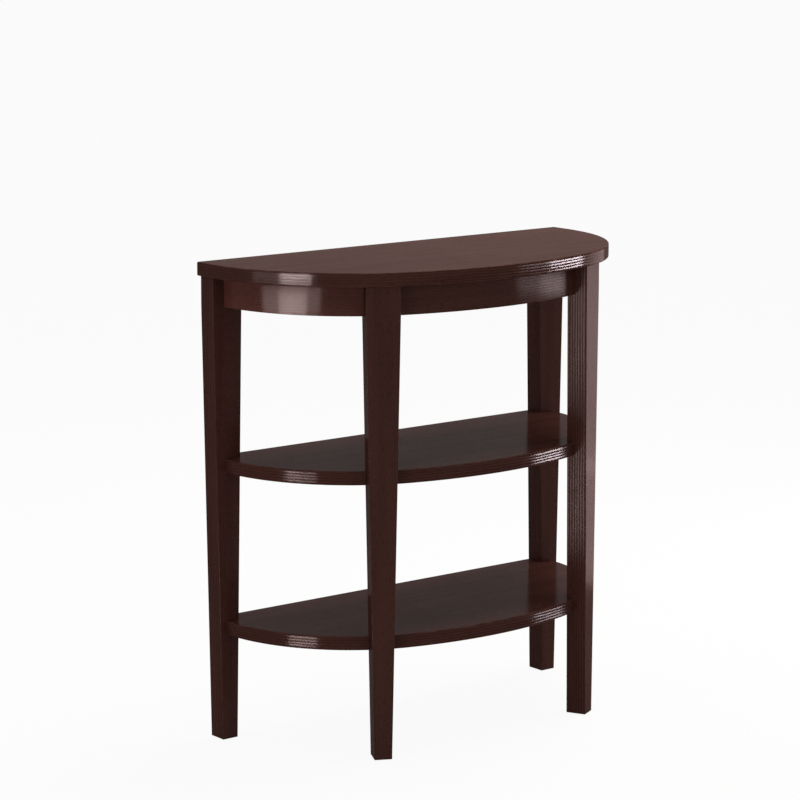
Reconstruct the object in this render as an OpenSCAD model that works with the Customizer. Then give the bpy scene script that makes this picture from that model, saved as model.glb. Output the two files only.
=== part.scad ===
// Half-moon console table: a bowed top and two shelves on four tapered legs
// Millimetres, +Z up. The origin is on the floor, below the middle of the top.

/* [Top] */
// Height of the table from the floor
overall_height = 762; // [600:1:900]
// Width of the top along its straight back edge
top_width = 732; // [680:1:800]
// Thickness of the top
top_thick = 22; // [18:0.5:32]
// Radius of the flat bow across the front
front_radius = 600; // [520:1:900]
// Radius of the tighter bow at each end
end_radius = 275; // [250:1:300]
// Straight run at each end, before the bow starts
end_straight = 33; // [25:1:60]
// Rounding along the edges of the top and the shelves
board_round = 2; // [1:0.1:4]

/* [Legs] */
// Thickness of a leg, from its outer to its inner face
leg_thick = 33; // [30:0.5:40]
// Width of a leg's face above the taper
leg_width = 54; // [48:1:64]
// Width of a leg's face at the foot
foot_width = 28; // [24:1:46]
// Distance of the legs' outer faces behind the edge of the top
leg_reveal = 6.5; // [3:0.5:9]
// Angle along the end bow from its start at the front to the middle of a front leg
front_leg_offset = 10.5; // [9:0.5:20]
// Cut along the legs' sharp corners
leg_ease = 1; // [0.5:0.1:3]

/* [Apron] */
// Height of the apron and the back rail
apron_height = 48; // [44:1:80]
// Distance of the apron and the shelf edges behind the edge of the top
bow_setback = 27; // [24:0.5:29]
// Rounding of the apron's lower edges
apron_round = 1; // [0.5:0.1:2.5]
// Thickness of the back rail
rail_thick = 18; // [15:0.5:20]
// Distance of the back rail's outer face in front of the legs' back faces
rail_inset = 6; // [2:0.5:8]

/* [Shelves] */
// Thickness of the shelves
shelf_thick = 22; // [20:0.5:30]
// Height of the middle shelf's upper face
middle_shelf_height = 452; // [380:1:560]
// Height of the lower shelf's upper face
lower_shelf_height = 192; // [120:1:260]

/* [Glue blocks] */
// Length of a front glue block along the apron
front_block_length = 110; // [100:1:130]
// Length of a back glue block along the rail, from the leg's inner side
back_block_length = 45; // [40:1:80]
// Depth of the glue blocks, from the apron or rail inwards
block_depth = 25; // [22:1:30]
// Height of the glue blocks
block_height = 36; // [32:1:42]

/* [Fastenings] */
// Diameter of the dowels
dowel_dia = 6; // [5:0.5:7]
// Length of the dowels
dowel_length = 25; // [20:1:30]
// Height between the two dowels of a joint
dowel_pitch = 28; // [24:1:32]
// Diameter of the hanger bolts
bolt_dia = 6; // [5:0.5:7]
// Length of the hanger bolts
bolt_length = 60; // [56:1:66]
// Depth of the hanger bolts in the legs
bolt_hold = 22; // [18:1:24]
// Diameter of the washers
washer_dia = 16; // [13:0.5:18]
// Thickness of the washers
washer_thick = 1.6; // [1:0.1:2.5]
// Width of the nuts across their flats
nut_width = 10; // [9:0.5:12]
// Thickness of the nuts
nut_thick = 5; // [4:0.5:7]
// Diameter of the screws
screw_dia = 4; // [3:0.5:5]
// Diameter of the screw heads
screw_head_dia = 8; // [7:0.5:9]
// Thickness of the screw heads
screw_head_thick = 2.5; // [1.5:0.5:4]
// Length of the screws into the apron
apron_screw_length = 30; // [28:1:32]
// Length of the screws into the back rail
rail_screw_length = 36; // [32:1:40]
// Length of the screws into the top
top_screw_length = 50; // [46:1:54]
// Distance of the screws from the ends of the glue blocks
screw_margin = 13; // [10:1:15]
// Distance of a top screw from its neighbour along the glue block
screw_step = 15; // [12:1:18]
// Height of the screws into the apron and rail above the glue block's underside
screw_rise = 12; // [10:1:14]
// Diameter of the cams
cam_dia = 15; // [14:0.5:18]
// Height of the cams
cam_height = 16; // [15.5:0.5:17]
// Distance of the cams from the leg
cam_reach = 34; // [28:1:40]
// Width of the slot in a cam
cam_slot = 1.2; // [1:0.1:2]
// Diameter of the cam bolts
cam_bolt_dia = 6; // [5:0.5:7]
// Depth of the cam bolts in the legs
cam_bolt_hold = 11; // [8:1:14]

/* [Fits] */
// Room round a dowel, bolt, screw or cam in its hole
hole_gap = 0.15; // [0.1:0.05:0.3]
// Room between a shelf or block and the curved or sloping face it sits against
seat_gap = 0.3; // [0.2:0.05:0.5]

/* [Hidden] */

// Smoothness of the long bows and of small round pieces
bow_fn = 240;
small_fn = 32;

// Finishes
espresso = [0.20, 0.12, 0.11];
raw_wood = [0.72, 0.58, 0.42];
beech = [0.80, 0.66, 0.47];
zinc = [0.70, 0.71, 0.72];

// Three arcs make the outline: the front bow, and a tighter bow at each end
half_width = top_width / 2;
end_x = half_width - end_radius;
centre_rise = sqrt(pow(front_radius - end_radius, 2) - pow(end_x, 2));
front_y = centre_rise - end_straight;
top_depth = front_radius - front_y;
// Direction in which an end bow turns into the front bow
meet_angle = -atan2(centre_rise, end_x);
// Place of the straight back edge, with the origin below the middle of the top
back_y = top_depth / 2;
// Reach of the cuts that run past the whole table
far = 2 * front_radius;
// Overlap that carries a cut past a face
over = leg_ease;
// Hair's breadth by which the front bow and the straight ends stand proud of the end bows
bow_step = leg_ease / 40;
// Thickness of the slices that a leg's form is stretched between
slice = leg_ease / 10;

// Heights
top_under = overall_height - top_thick;
apron_under = top_under - apron_height;
apron_mid = top_under - apron_height / 2;
block_under = top_under - block_height;
leg_slope = (leg_width - foot_width) / 2 / apron_under;

// Legs in plan, measured from the middle of the back edge
front_leg_angle = 90 + meet_angle + front_leg_offset;
leg_radius = end_radius - leg_reveal - leg_thick / 2;
back_leg_x = half_width - leg_reveal - leg_width / 2;
leg_inner_x = back_leg_x - leg_width / 2;
// The apron is as thick as its step behind the top leaves, flush with the legs' inner faces
bow_thick = leg_reveal + leg_thick - bow_setback;
apron_inner = bow_setback + bow_thick;

// The dowels into the front legs sit in the wood that leg and apron share
front_dowel_y = leg_thick / 2 - dowel_dia * 0.75;
// The dowels into the back legs run along the middle of the apron's end and of the rail
back_dowel_x = half_width - bow_setback - bow_thick / 2;
rail_mid_y = -rail_inset - rail_thick / 2;
rail_front_y = -rail_inset - rail_thick;
// The hanger bolts of the back legs pass beside the apron's end
back_bolt_x = (leg_inner_x + half_width - apron_inner) / 2;
// Places of the screws along the glue blocks
apron_screw_x = front_block_length / 2 - screw_margin;
front_top_screw_x = apron_screw_x - screw_step;
rail_screw_x = leg_inner_x - back_block_length + screw_margin;
back_top_screw_x = rail_screw_x + screw_step;
block_screw_z = block_under + screw_rise;

// Sides of the table: -1 is left, 1 is right
SIDES = [-1, 1];
SHELVES = [middle_shelf_height, lower_shelf_height];

// Half of a leg's width at a height
function leg_half(z) = min(leg_width / 2, foot_width / 2 + z * leg_slope);

// Moves the plan, drawn with its back edge at y = 0, to its place round the origin
module in_place() {
    translate([0, back_y, 0]) children();
}

// Draws the children for one side of the table, from their right-hand form
module on_side(side) {
    mirror([side < 0 ? 1 : 0, 0, 0]) children();
}

// Places a child at the centre of an end bow
module at_end_centre(side) {
    on_side(side) translate([end_x, -end_straight, 0]) children();
}

// Places a child at a front leg: +X along the leg's face, -Y outwards
module at_front_leg(side) {
    at_end_centre(side)
        rotate([0, 0, front_leg_angle])
            translate([0, -leg_radius, 0])
                children();
}

// Places a child at a back leg: +X along the leg's face towards the table's end
module at_back_leg(side) {
    on_side(side) translate([back_leg_x, -leg_thick / 2, 0]) children();
}

// Straight end of the outline, from the end bow back along a length
module straight_end(side, length) {
    at_end_centre(side)
        translate([0, length, 0])
            rotate([90, 0, 0])
                linear_extrude(length)
                    children();
}

// Solid inside the bowed outline, drawn in by an inset: a disc at each end, the front bow
// between them and the straight ends. The child is a section that reaches out to x = $reach
module bowed_solid(inset) {
    for (side = SIDES) {
        at_end_centre(side)
            rotate_extrude($fn = bow_fn)
                let($reach = end_radius - bow_step - inset) children();
        straight_end(side, end_straight + over)
            let($reach = end_radius - inset) children();
    }
    translate([0, front_y, 0])
        rotate([0, 0, -180 - meet_angle])
            rotate_extrude(angle = 180 + 2 * meet_angle, $fn = bow_fn)
                translate([centre_rise, 0])
                    let($reach = front_radius - centre_rise - inset) children();
}

// Section of a board out to $reach, with both corners rounded
module board_section(thick) {
    r = board_round;
    square([$reach - r, thick]);
    translate([0, r]) square([$reach, thick - 2 * r]);
    for (z = [r, thick - r]) translate([$reach - r, z]) circle(r = r, $fn = small_fn);
}

// Board with the bowed outline, drawn in by an inset along the whole bow
module bowed_board(inset, thick) {
    intersection() {
        bowed_solid(inset) board_section(thick);
        // The straight back edge is rounded too
        translate([-half_width, -far, 0])
            rotate([90, 0, 90])
                linear_extrude(top_width)
                    let($reach = far) board_section(thick);
    }
}

// Section of the apron, with its lower corners rounded
module apron_section(radius) {
    r = apron_round;
    translate([radius - apron_inner, apron_under]) {
        translate([0, r]) square([bow_thick, apron_height - r]);
        translate([r, 0]) square([bow_thick - 2 * r, apron_height]);
        for (x = [r, bow_thick - r]) translate([x, r]) circle(r = r, $fn = small_fn);
    }
}

// Section of the front apron out to $reach, with its outer lower corner rounded
module apron_outside() {
    r = apron_round;
    translate([0, apron_under]) {
        translate([0, r]) square([$reach, apron_height - r]);
        square([$reach - r, apron_height]);
        translate([$reach - r, r]) circle(r = r, $fn = small_fn);
    }
}

// Section of the room inside the front apron out to $reach, wider round its inner lower corner
module apron_inside() {
    r = apron_round;
    translate([0, apron_under - over]) square([$reach, apron_height + 2 * over]);
    translate([0, apron_under - over]) square([$reach + r, over]);
    translate([$reach, apron_under])
        difference() {
            translate([-r, -r]) square(2 * r);
            translate([r, r]) circle(r = r, $fn = small_fn);
        }
}

// Space beyond a front leg's side: end 1 is towards the table's end, -1 towards the middle
module beside_front_leg(side, end) {
    at_front_leg(side)
        translate([end > 0 ? leg_width / 2 : -far - leg_width / 2, -far, 0])
            cube([far, 2 * far, overall_height]);
}

// Flat slice of a leg, with its four corners cut
module leg_slice(width, thick) {
    x = width / 2;
    y = thick / 2;
    e = leg_ease;
    linear_extrude(slice)
        polygon([
            [-x + e, -y], [x - e, -y], [x, -y + e], [x, y - e],
            [x - e, y], [-x + e, y], [-x, y - e], [-x, -y + e]
        ]);
}

// Round bar along +X
module bar_x(dia, length) {
    rotate([0, 90, 0]) cylinder(d = dia, h = length, $fn = small_fn);
}

// Round bar along +Y
module bar_y(dia, length) {
    rotate([-90, 0, 0]) cylinder(d = dia, h = length, $fn = small_fn);
}

// Leg before its holes are bored: straight beside the apron, tapered below it
module leg_blank() {
    hull() {
        translate([0, 0, top_under - slice]) leg_slice(leg_width, leg_thick);
        translate([0, 0, apron_under]) leg_slice(leg_width, leg_thick);
    }
    hull() {
        translate([0, 0, apron_under]) leg_slice(leg_width, leg_thick);
        translate([0, 0, leg_ease]) leg_slice(foot_width, leg_thick);
        leg_slice(foot_width - 2 * leg_ease, leg_thick - 2 * leg_ease);
    }
}

// The two heights of a dowel joint
module dowel_pair() {
    for (up = SIDES) translate([0, 0, apron_mid + up * dowel_pitch / 2]) children();
}

// Dowels of a front leg: one pair into each side
module front_leg_dowels(grow) {
    for (end = SIDES)
        dowel_pair()
            translate([end * leg_width / 2 - dowel_length / 2 - grow, front_dowel_y, 0])
                bar_x(dowel_dia + 2 * grow, dowel_length + 2 * grow);
}

// Dowels from a side apron's end into the front face of a back leg
module back_leg_dowels(grow) {
    dowel_pair()
        translate([back_dowel_x - back_leg_x, -leg_thick / 2 - dowel_length / 2 - grow, 0])
            bar_y(dowel_dia + 2 * grow, dowel_length + 2 * grow);
}

// Dowels from the rail's end into the inner side of a back leg
module rail_end_dowels(grow) {
    dowel_pair()
        translate([-leg_width / 2 - dowel_length / 2 - grow, rail_mid_y + leg_thick / 2, 0])
            bar_x(dowel_dia + 2 * grow, dowel_length + 2 * grow);
}

// Hanger bolt: the leg's face is at y = 0 and the wood of the leg at y < 0
module leg_bolt(grow) {
    translate([0, -bolt_hold - grow, apron_mid])
        bar_y(bolt_dia + 2 * grow, bolt_length + 2 * grow);
}

// Places a child at the face that a front leg shows to its glue block
module at_front_bolt(side) {
    at_front_leg(side) translate([0, leg_thick / 2, 0]) children();
}

// Places a child at the face that a back leg shows to its glue block
module at_back_bolt(side) {
    on_side(side)
        translate([back_bolt_x, -leg_thick, 0])
            mirror([0, 1, 0])
                children();
}

// Places a child at all four bolts
module at_bolts() {
    for (side = SIDES) {
        at_front_bolt(side) children();
        at_back_bolt(side) children();
    }
}

// Cam bolt along +Y: the leg's face is at y = 0, its thread sits in the leg at y < 0
module cam_bolt() {
    r = cam_bolt_dia / 2;
    neck = 0.55 * r;
    shank = 0.8 * r;
    rotate([-90, 0, 0])
        rotate_extrude($fn = small_fn)
            polygon([
                [0, -cam_bolt_hold], [neck, -cam_bolt_hold], [r, 2 * neck - cam_bolt_hold],
                [r, 0], [shank, 0], [shank, cam_reach - 2 * r],
                [neck, cam_reach - 1.5 * r], [neck, cam_reach - 0.5 * r],
                [shank, cam_reach - 0.3 * r], [shank, cam_reach + 0.6 * r], [0, cam_reach + 0.8 * r]
            ]);
}

// Hole for a cam bolt in a leg
module cam_bolt_hole() {
    translate([0, -cam_bolt_hold - hole_gap, 0])
        bar_y(cam_bolt_dia + 2 * hole_gap, cam_bolt_hold + 2 * hole_gap);
}

// Room for a cam and its bolt in a shelf, from the shelf's underside up
module cam_room() {
    translate([0, -over, shelf_thick / 2])
        bar_y(cam_bolt_dia + 4 * hole_gap, cam_reach + over);
    translate([0, cam_reach, -over])
        cylinder(d = cam_dia + 2 * hole_gap, h = cam_height + over + hole_gap, $fn = small_fn);
}

// Cam with a cross slot below and the mouth that takes the bolt's head
module cam() {
    difference() {
        translate([0, cam_reach, 0]) cylinder(d = cam_dia, h = cam_height, $fn = small_fn);
        translate([0, cam_reach - cam_dia, shelf_thick / 2])
            bar_y(cam_bolt_dia, cam_dia + cam_bolt_dia / 2);
        for (turn = [45, 135])
            translate([0, cam_reach, 0])
                rotate([0, 0, turn])
                    cube([cam_dia * 0.6, cam_slot, 4 * cam_slot], center = true);
    }
}

// Places a child at each leg's face at a shelf's underside: +Y points into the shelf
module at_cams(shelf_height) {
    under = shelf_height - shelf_thick;
    for (side = SIDES) {
        at_front_leg(side) translate([0, leg_thick / 2, under]) children();
        at_back_leg(side)
            translate([-leg_half(under + shelf_thick / 2), 0, under])
                rotate([0, 0, 90])
                    children();
    }
}

// Screw along -Y, with the seat of its head at y = 0
module screw(length) {
    r = screw_dia / 2;
    head_r = screw_head_dia / 2;
    rotate([90, 0, 0])
        rotate_extrude($fn = small_fn)
            polygon([
                [0, -screw_head_thick], [0.7 * head_r, -screw_head_thick],
                [head_r, -0.4 * screw_head_thick], [head_r, 0],
                [r, 0], [r, length - 2 * screw_dia], [r / 6, length], [0, length]
            ]);
}

// Hole for a screw along -Y, from just before its seat
module screw_hole(length) {
    translate([0, -length - hole_gap, 0])
        bar_y(screw_dia + 2 * hole_gap, length + over + hole_gap);
}

// Places a child at the screws from a front glue block into the apron
module at_apron_screws(side) {
    at_front_leg(side)
        for (end = SIDES)
            translate([end * apron_screw_x, leg_thick / 2 + block_depth, block_screw_z])
                children();
}

// Places a child at the screw from a back glue block into the rail
module at_rail_screw(side) {
    on_side(side)
        translate([rail_screw_x, rail_front_y - block_depth, block_screw_z])
            mirror([0, 1, 0])
                children();
}

// Places a child at the screws up into the top, turned so that its -Y points up
module at_top_screws(side) {
    at_front_leg(side)
        for (end = SIDES)
            translate([end * front_top_screw_x, (leg_thick + block_depth) / 2, block_under])
                rotate([-90, 0, 0])
                    children();
    on_side(side)
        translate([back_top_screw_x, rail_front_y - block_depth / 2, block_under])
            rotate([-90, 0, 0])
                children();
}

// Holes that the apron's pieces share with the legs and blocks
module apron_holes() {
    for (side = SIDES) {
        at_front_leg(side) front_leg_dowels(hole_gap);
        at_back_leg(side) back_leg_dowels(hole_gap);
        at_apron_screws(side) screw_hole(apron_screw_length);
    }
}

module side_apron(side) {
    bow_end = max(end_straight, leg_thick);
    color(espresso)
        in_place()
            difference() {
                union() {
                    intersection() {
                        at_end_centre(side)
                            rotate_extrude($fn = bow_fn)
                                apron_section(end_radius);
                        beside_front_leg(side, 1);
                        translate([-far, -far - bow_end, 0])
                            cube([2 * far, far, overall_height]);
                    }
                    if (end_straight > leg_thick)
                        straight_end(side, end_straight - leg_thick) apron_section(end_radius);
                }
                apron_holes();
            }
}

module apron_left() {
    side_apron(-1);
}

module apron_right() {
    side_apron(1);
}

module apron_front() {
    color(espresso)
        in_place()
            difference() {
                intersection() {
                    difference() {
                        bowed_solid(bow_setback) apron_outside();
                        bowed_solid(apron_inner) apron_inside();
                    }
                    beside_front_leg(-1, -1);
                    beside_front_leg(1, -1);
                    translate([-far, -far - end_straight, 0])
                        cube([2 * far, far, overall_height]);
                }
                apron_holes();
            }
}

module back_rail() {
    color(espresso)
        in_place()
            difference() {
                translate([-leg_inner_x, rail_front_y, apron_under])
                    cube([2 * leg_inner_x, rail_thick, apron_height]);
                for (side = SIDES) {
                    at_back_leg(side) rail_end_dowels(hole_gap);
                    at_rail_screw(side) screw_hole(rail_screw_length);
                }
            }
}

module top_panel() {
    color(espresso)
        in_place()
            difference() {
                translate([0, 0, top_under]) bowed_board(0, top_thick);
                for (side = SIDES) at_top_screws(side) screw_hole(top_screw_length);
            }
}

module front_leg(side) {
    color(espresso)
        in_place()
            difference() {
                at_front_leg(side) leg_blank();
                at_front_leg(side) front_leg_dowels(hole_gap);
                at_front_bolt(side) leg_bolt(hole_gap);
                for (height = SHELVES)
                    at_front_leg(side)
                        translate([0, leg_thick / 2, height - shelf_thick / 2])
                            cam_bolt_hole();
            }
}

module back_leg(side) {
    color(espresso)
        in_place()
            difference() {
                at_back_leg(side) leg_blank();
                at_back_leg(side) back_leg_dowels(hole_gap);
                at_back_leg(side) rail_end_dowels(hole_gap);
                at_back_bolt(side) leg_bolt(hole_gap);
                for (height = SHELVES)
                    at_back_leg(side)
                        translate([-leg_half(height - shelf_thick / 2), 0, height - shelf_thick / 2])
                            rotate([0, 0, 90])
                                cam_bolt_hole();
            }
}

module back_left_leg() {
    back_leg(-1);
}

module back_right_leg() {
    back_leg(1);
}

module front_left_leg() {
    front_leg(-1);
}

module front_right_leg() {
    front_leg(1);
}

// Shelf with the apron's outline, let in round the four legs
module shelf(height) {
    room = leg_half(height) + seat_gap;
    under = height - shelf_thick;
    color(espresso)
        in_place()
            difference() {
                translate([0, 0, under]) bowed_board(bow_setback, shelf_thick);
                for (side = SIDES) {
                    at_front_leg(side)
                        translate([-room, -far + leg_thick / 2 + seat_gap, under - over])
                            cube([2 * room, far, shelf_thick + 2 * over]);
                    at_back_leg(side)
                        translate([-room, -leg_thick / 2 - seat_gap, under - over])
                            cube([far, far, shelf_thick + 2 * over]);
                }
                at_cams(height) cam_room();
            }
}

module middle_shelf() {
    shelf(middle_shelf_height);
}

module lower_shelf() {
    shelf(lower_shelf_height);
}

// Glue block from its plain form: rounded to lie inside the apron, then bored
module glue_block(side) {
    color(raw_wood)
        in_place()
            difference() {
                intersection() {
                    children();
                    at_end_centre(side)
                        translate([0, 0, block_under])
                            cylinder(r = end_radius - apron_inner - seat_gap, h = block_height,
                                     $fn = bow_fn);
                }
                at_bolts() leg_bolt(2 * hole_gap);
                at_apron_screws(side) screw_hole(apron_screw_length);
                at_rail_screw(side) screw_hole(rail_screw_length);
                at_top_screws(side) screw_hole(top_screw_length);
            }
}

// Glue block behind a front leg, along the inside of the apron
module front_block(side) {
    glue_block(side)
        at_front_leg(side)
            translate([-front_block_length / 2, leg_thick / 2, block_under])
                cube([front_block_length, block_depth, block_height]);
}

// Glue block in a back corner: along the rail, round the leg's corner and inside the apron
module back_block(side) {
    rail_end = leg_inner_x - back_block_length;
    step = leg_thick + rail_front_y;
    slope_end = leg_inner_x - washer_dia / 2;
    glue_block(side)
        on_side(side)
            translate([0, 0, block_under])
                linear_extrude(block_height)
                    polygon([
                        [rail_end, rail_front_y],
                        [leg_inner_x, rail_front_y],
                        [leg_inner_x, -leg_thick],
                        [half_width, -leg_thick],
                        [half_width, -leg_thick - block_depth],
                        [slope_end, -leg_thick - block_depth],
                        [slope_end - step, rail_front_y - block_depth],
                        [rail_end, rail_front_y - block_depth]
                    ]);
}

module back_left_block() {
    back_block(-1);
}

module back_right_block() {
    back_block(1);
}

module front_left_block() {
    front_block(-1);
}

module front_right_block() {
    front_block(1);
}

module apron_dowels() {
    color(beech)
        in_place()
            for (side = SIDES) {
                at_front_leg(side) front_leg_dowels(0);
                at_back_leg(side) back_leg_dowels(0);
            }
}

module rail_dowels() {
    color(beech)
        in_place()
            for (side = SIDES) at_back_leg(side) rail_end_dowels(0);
}

module leg_bolts() {
    color(zinc) in_place() at_bolts() leg_bolt(0);
}

// Washer against the glue block
module washer() {
    translate([0, block_depth, apron_mid])
        difference() {
            bar_y(washer_dia, washer_thick);
            translate([0, -over, 0]) bar_y(bolt_dia + 2 * seat_gap, washer_thick + 2 * over);
        }
}

module leg_washers() {
    color(zinc) in_place() at_bolts() washer();
}

// Hexagon nut against the washer
module nut() {
    translate([0, block_depth + washer_thick, apron_mid])
        difference() {
            rotate([-90, 0, 0]) cylinder(d = nut_width / cos(30), h = nut_thick, $fn = 6);
            translate([0, -over, 0]) bar_y(bolt_dia + 2 * hole_gap, nut_thick + 2 * over);
        }
}

module leg_nuts() {
    color(zinc) in_place() at_bolts() nut();
}

module block_screws() {
    color(zinc)
        in_place()
            for (side = SIDES) {
                at_apron_screws(side) screw(apron_screw_length);
                at_rail_screw(side) screw(rail_screw_length);
            }
}

module top_screws() {
    color(zinc)
        in_place()
            for (side = SIDES) at_top_screws(side) screw(top_screw_length);
}

module cam_bolts() {
    color(zinc)
        in_place()
            for (height = SHELVES)
                at_cams(height) translate([0, 0, shelf_thick / 2]) cam_bolt();
}

module cam_discs() {
    color(zinc)
        in_place()
            for (height = SHELVES)
                at_cams(height) cam();
}

top_panel();
apron_left();
apron_front();
apron_right();
back_rail();
back_left_leg();
back_right_leg();
front_left_leg();
front_right_leg();
middle_shelf();
lower_shelf();
back_left_block();
back_right_block();
front_left_block();
front_right_block();
apron_dowels();
rail_dowels();
leg_bolts();
leg_washers();
leg_nuts();
block_screws();
top_screws();
cam_bolts();
cam_discs();
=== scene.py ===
"""Looks of the half-moon console table: espresso lacquer on bowed boards and tapered legs.

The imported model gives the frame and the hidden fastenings. The boards, the bent aprons, the rail
and the legs are modelled here, each in the place of its node, with softer corners and a grain map
that runs along the wood. All lengths are in metres.
"""

import logging
import math
from dataclasses import dataclass
from enum import Enum
from typing import Callable, Iterable

import bmesh
import bpy
from mathutils import Matrix, Vector


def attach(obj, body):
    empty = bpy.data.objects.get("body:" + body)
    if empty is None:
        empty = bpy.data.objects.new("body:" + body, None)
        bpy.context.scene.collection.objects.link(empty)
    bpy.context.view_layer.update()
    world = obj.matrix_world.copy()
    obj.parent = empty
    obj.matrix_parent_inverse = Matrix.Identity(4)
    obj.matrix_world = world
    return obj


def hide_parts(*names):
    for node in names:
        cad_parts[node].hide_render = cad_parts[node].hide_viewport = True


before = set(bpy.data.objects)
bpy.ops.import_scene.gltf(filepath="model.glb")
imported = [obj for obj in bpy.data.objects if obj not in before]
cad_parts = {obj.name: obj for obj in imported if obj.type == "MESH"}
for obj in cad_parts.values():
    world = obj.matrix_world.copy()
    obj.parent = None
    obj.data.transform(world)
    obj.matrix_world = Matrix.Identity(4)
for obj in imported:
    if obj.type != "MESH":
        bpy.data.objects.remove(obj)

log = logging.getLogger("console_table")

Piece = bpy.types.Object
Socket = bpy.types.NodeSocket
Colour = tuple[float, float, float]
Pair = tuple[float, float]
Triple = tuple[float, float, float]

TOP_UNDERSIDE = 0.740
APRON_UNDERSIDE = 0.692
APRON_INSET = 0.027
EDGE_TOLERANCE = 2e-5
LEVEL_NORMAL = 0.7
GRAIN_MAP = "grain"
ARRIS_MARK = "arris"
LIPPING_MARK = "lipping"


# The bench: selecting, shaping and finishing meshes


class Bench:
    """Steps at the bench that every piece goes through."""

    smooth_up_to = math.radians(40)

    @staticmethod
    def clear() -> None:
        """Leaves edit mode and deselects every object."""
        if bpy.context.object is not None and bpy.context.object.mode != "OBJECT":
            bpy.ops.object.mode_set(mode="OBJECT")
        bpy.ops.object.select_all(action="DESELECT")

    @staticmethod
    def take(piece: Piece) -> None:
        """Makes one piece the only selected and active object."""
        Bench.clear()
        piece.select_set(True)
        bpy.context.view_layer.objects.active = piece

    @staticmethod
    def edit(piece: Piece) -> None:
        """Takes a piece and goes into edit mode."""
        Bench.take(piece)
        bpy.ops.object.mode_set(mode="EDIT")

    @staticmethod
    def settle() -> None:
        """Writes the selected piece's place, turn and size into its mesh."""
        bpy.ops.object.transform_apply(location=True, rotation=True, scale=True)

    @staticmethod
    def name(piece: Piece, name: str) -> Piece:
        """Gives a piece and its mesh their name."""
        piece.name = name
        piece.data.name = name
        return piece

    @staticmethod
    def sheet(centre: Vector, size: Pair, turn: Triple) -> Piece:
        """Adds a flat sheet at its size and place.

        Args:
            centre: middle of the sheet.
            size: its width and height before it is turned.
            turn: angles about X, Y and Z in radians.

        Returns:
            The sheet, with its place in its mesh.
        """
        Bench.clear()
        bpy.ops.mesh.primitive_plane_add(size=1, location=centre, rotation=turn)
        bpy.context.object.scale = (*size, 1)
        Bench.settle()
        return bpy.context.object

    @staticmethod
    def block(centre: Vector, size: Triple, turn: float = 0.0) -> Piece:
        """Adds a square block at its size and place, turned about Z.

        Args:
            centre: middle of the block.
            size: its sizes along X, Y and Z before it is turned.
            turn: angle about Z in radians.

        Returns:
            The block, with its place in its mesh.
        """
        Bench.clear()
        bpy.ops.mesh.primitive_cube_add(size=1, location=centre, rotation=(0, 0, turn))
        bpy.context.object.scale = size
        Bench.settle()
        return bpy.context.object

    @staticmethod
    def pick(piece: Piece, kind: str, test: Callable[[object], bool]) -> int:
        """Selects the vertices, edges or faces of the piece in edit mode that pass a test.

        Args:
            piece: the piece in edit mode.
            kind: VERT, EDGE or FACE.
            test: takes a vertex, edge or face of the piece's edit mesh.

        Returns:
            How many were selected.
        """
        bpy.ops.mesh.select_mode(type=kind)
        bpy.ops.mesh.select_all(action="DESELECT")
        edit = bmesh.from_edit_mesh(piece.data)
        found = 0
        for part in {"VERT": edit.verts, "EDGE": edit.edges, "FACE": edit.faces}[kind]:
            if test(part):
                part.select_set(True)
                found += 1
        bmesh.update_edit_mesh(piece.data)
        return found

    @staticmethod
    def both_ends(test: Callable[[Vector], bool]) -> Callable[[object], bool]:
        """Makes a test for edges from a test that both of their ends have to pass."""
        return lambda edge: all(test(vert.co) for vert in edge.verts)

    @staticmethod
    def swing(centre: Vector, angle: float, steps: int) -> None:
        """Carries what is selected round an upright axis, counterclockwise seen from above.

        Args:
            centre: a point on the axis.
            angle: how far in radians.
            steps: number of facets.
        """
        bpy.ops.mesh.spin(steps=steps, angle=angle, center=centre, axis=(0, 0, -1))

    @staticmethod
    def close(piece: Piece) -> None:
        """Merges doubled corners and turns all faces outwards, in edit mode."""
        bpy.ops.mesh.select_mode(type="VERT")
        bpy.ops.mesh.select_all(action="SELECT")
        bpy.ops.mesh.remove_doubles(threshold=EDGE_TOLERANCE / 2)
        bpy.ops.mesh.normals_make_consistent(inside=False)

    @staticmethod
    def put_down(piece: Piece, name: str) -> Piece:
        """Closes a piece in edit mode, leaves it and names it."""
        Bench.close(piece)
        Bench.clear()
        return Bench.name(piece, name)

    @staticmethod
    def cut_out(piece: Piece, cutters: Iterable[Piece]) -> None:
        """Cuts the shapes of other blocks out of a piece and clears the blocks away."""
        for cutter in cutters:
            Bench.take(piece)
            step = piece.modifiers.new("cut", "BOOLEAN")
            step.operation = "DIFFERENCE"
            step.solver = "EXACT"
            step.object = cutter
            bpy.ops.object.modifier_apply(modifier=step.name)
            bpy.data.objects.remove(cutter)

    @staticmethod
    def smooth(piece: Piece) -> None:
        """Shades the bows and rounded corners smooth and keeps the broad faces flat."""
        Bench.take(piece)
        bpy.ops.object.shade_smooth_by_angle(angle=Bench.smooth_up_to)
        step = piece.modifiers.new("even", "WEIGHTED_NORMAL")
        step.mode = "FACE_AREA"
        step.weight = 100
        step.keep_sharp = True
        bpy.ops.object.modifier_apply(modifier=step.name)


# Grain maps


class GrainRun(Enum):
    """How the grain lies on a piece."""

    BOARD = "along the table on the broad faces, round the bow on the edge"
    BENT = "round the bow on every face"
    UPRIGHT = "up the leg"
    LENGTHWISE = "along the rail"


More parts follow.
